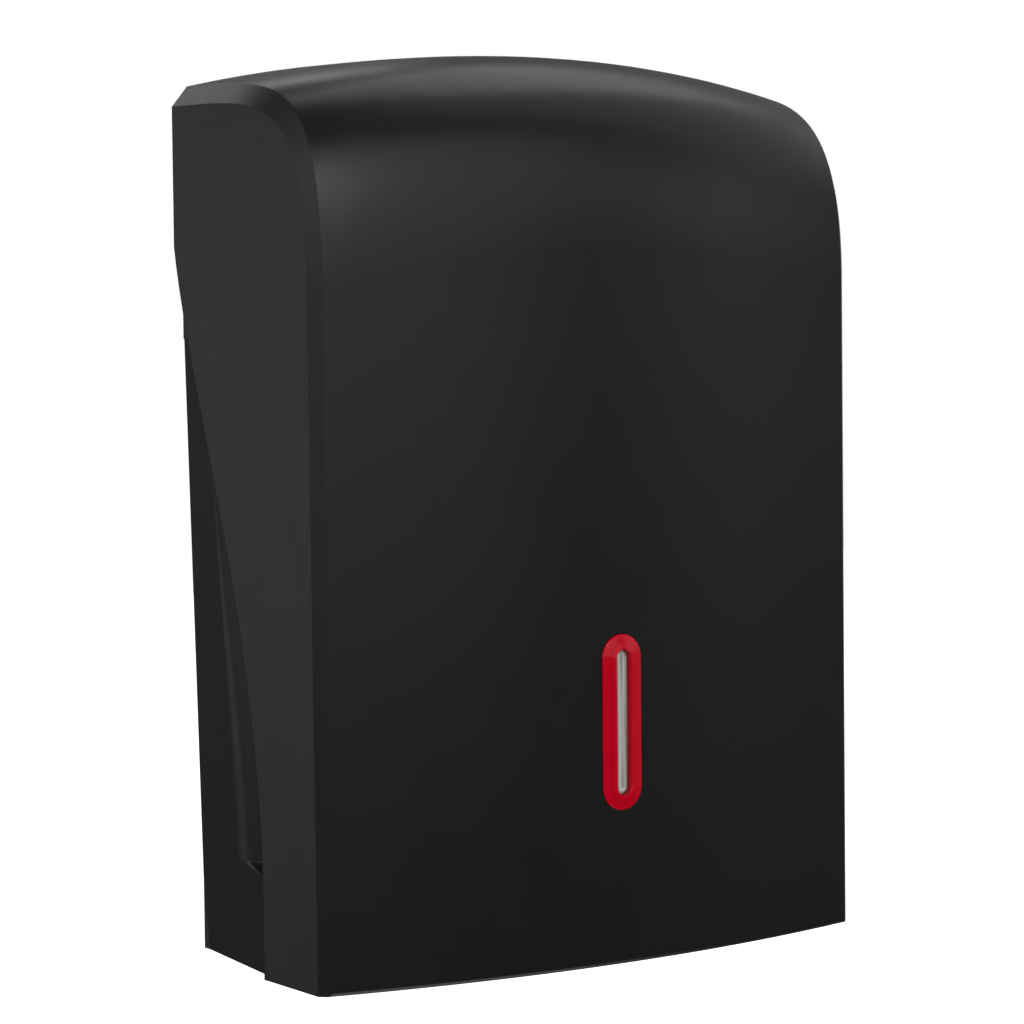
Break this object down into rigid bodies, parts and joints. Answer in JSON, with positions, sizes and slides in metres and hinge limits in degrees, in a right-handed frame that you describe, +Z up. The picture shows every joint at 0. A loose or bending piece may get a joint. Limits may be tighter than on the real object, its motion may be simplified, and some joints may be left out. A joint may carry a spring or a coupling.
{
  "type": "folded paper towel dispenser",
  "caption": "Wall-mounted dispenser for folded paper towels: crowned cover hinged at its foot, flared casing, outlet insert, sight window and cam lock.",
  "frame": {"origin": "middle of the four wall screws, on the wall face of the casing", "axes": "+Z up, +Y into the wall, the front faces -Y, +X to the right seen from the front"},
  "size_m": [0.2746, 0.1317, 0.3826],
  "materials": {
    "black_plastic": "satin moulded black plastic",
    "red_plastic": "glossy moulded red plastic",
    "clear_lens": "clear ridged plastic",
    "steel": "zinc plated",
    "acetal": "natural bearing plastic",
    "lock_metal": "bright plated"
  },
  "bodies": {
    "casing": {"back_casing": "black_plastic", "outlet_tray": "black_plastic", "tray_screws": "steel", "keeper_bracket": "steel", "keeper_screws": "steel", "hinge_pin_left": "steel", "hinge_pin_right": "steel", "hinge_washer_left": "acetal", "hinge_washer_right": "acetal"},
    "cover": {"front_cover": "black_plastic", "hinge_bush_left": "acetal", "hinge_bush_right": "acetal", "window_bezel": "red_plastic", "window_lens": "clear_lens", "lens_retainer": "black_plastic", "retainer_screws": "steel", "lock_housing": "lock_metal", "lock_washer": "steel", "lock_nut": "steel"},
    "lock": {"lock_barrel": "lock_metal", "lock_cam": "steel", "cam_washer": "steel", "cam_screw": "steel"}
  },
  "joints": [
    {"name": "cover_hinge", "type": "hinge", "parent": "casing", "child": "cover", "pos_m": [0, -0.092, -0.182], "axis": [1, 0, 0], "range_deg": [0, 95]},
    {"name": "lock_turn", "type": "hinge", "parent": "cover", "child": "lock", "pos_m": [0, -0.028, 0.18], "axis": [0, 0, -1], "range_deg": [0, 90]}
  ]
}
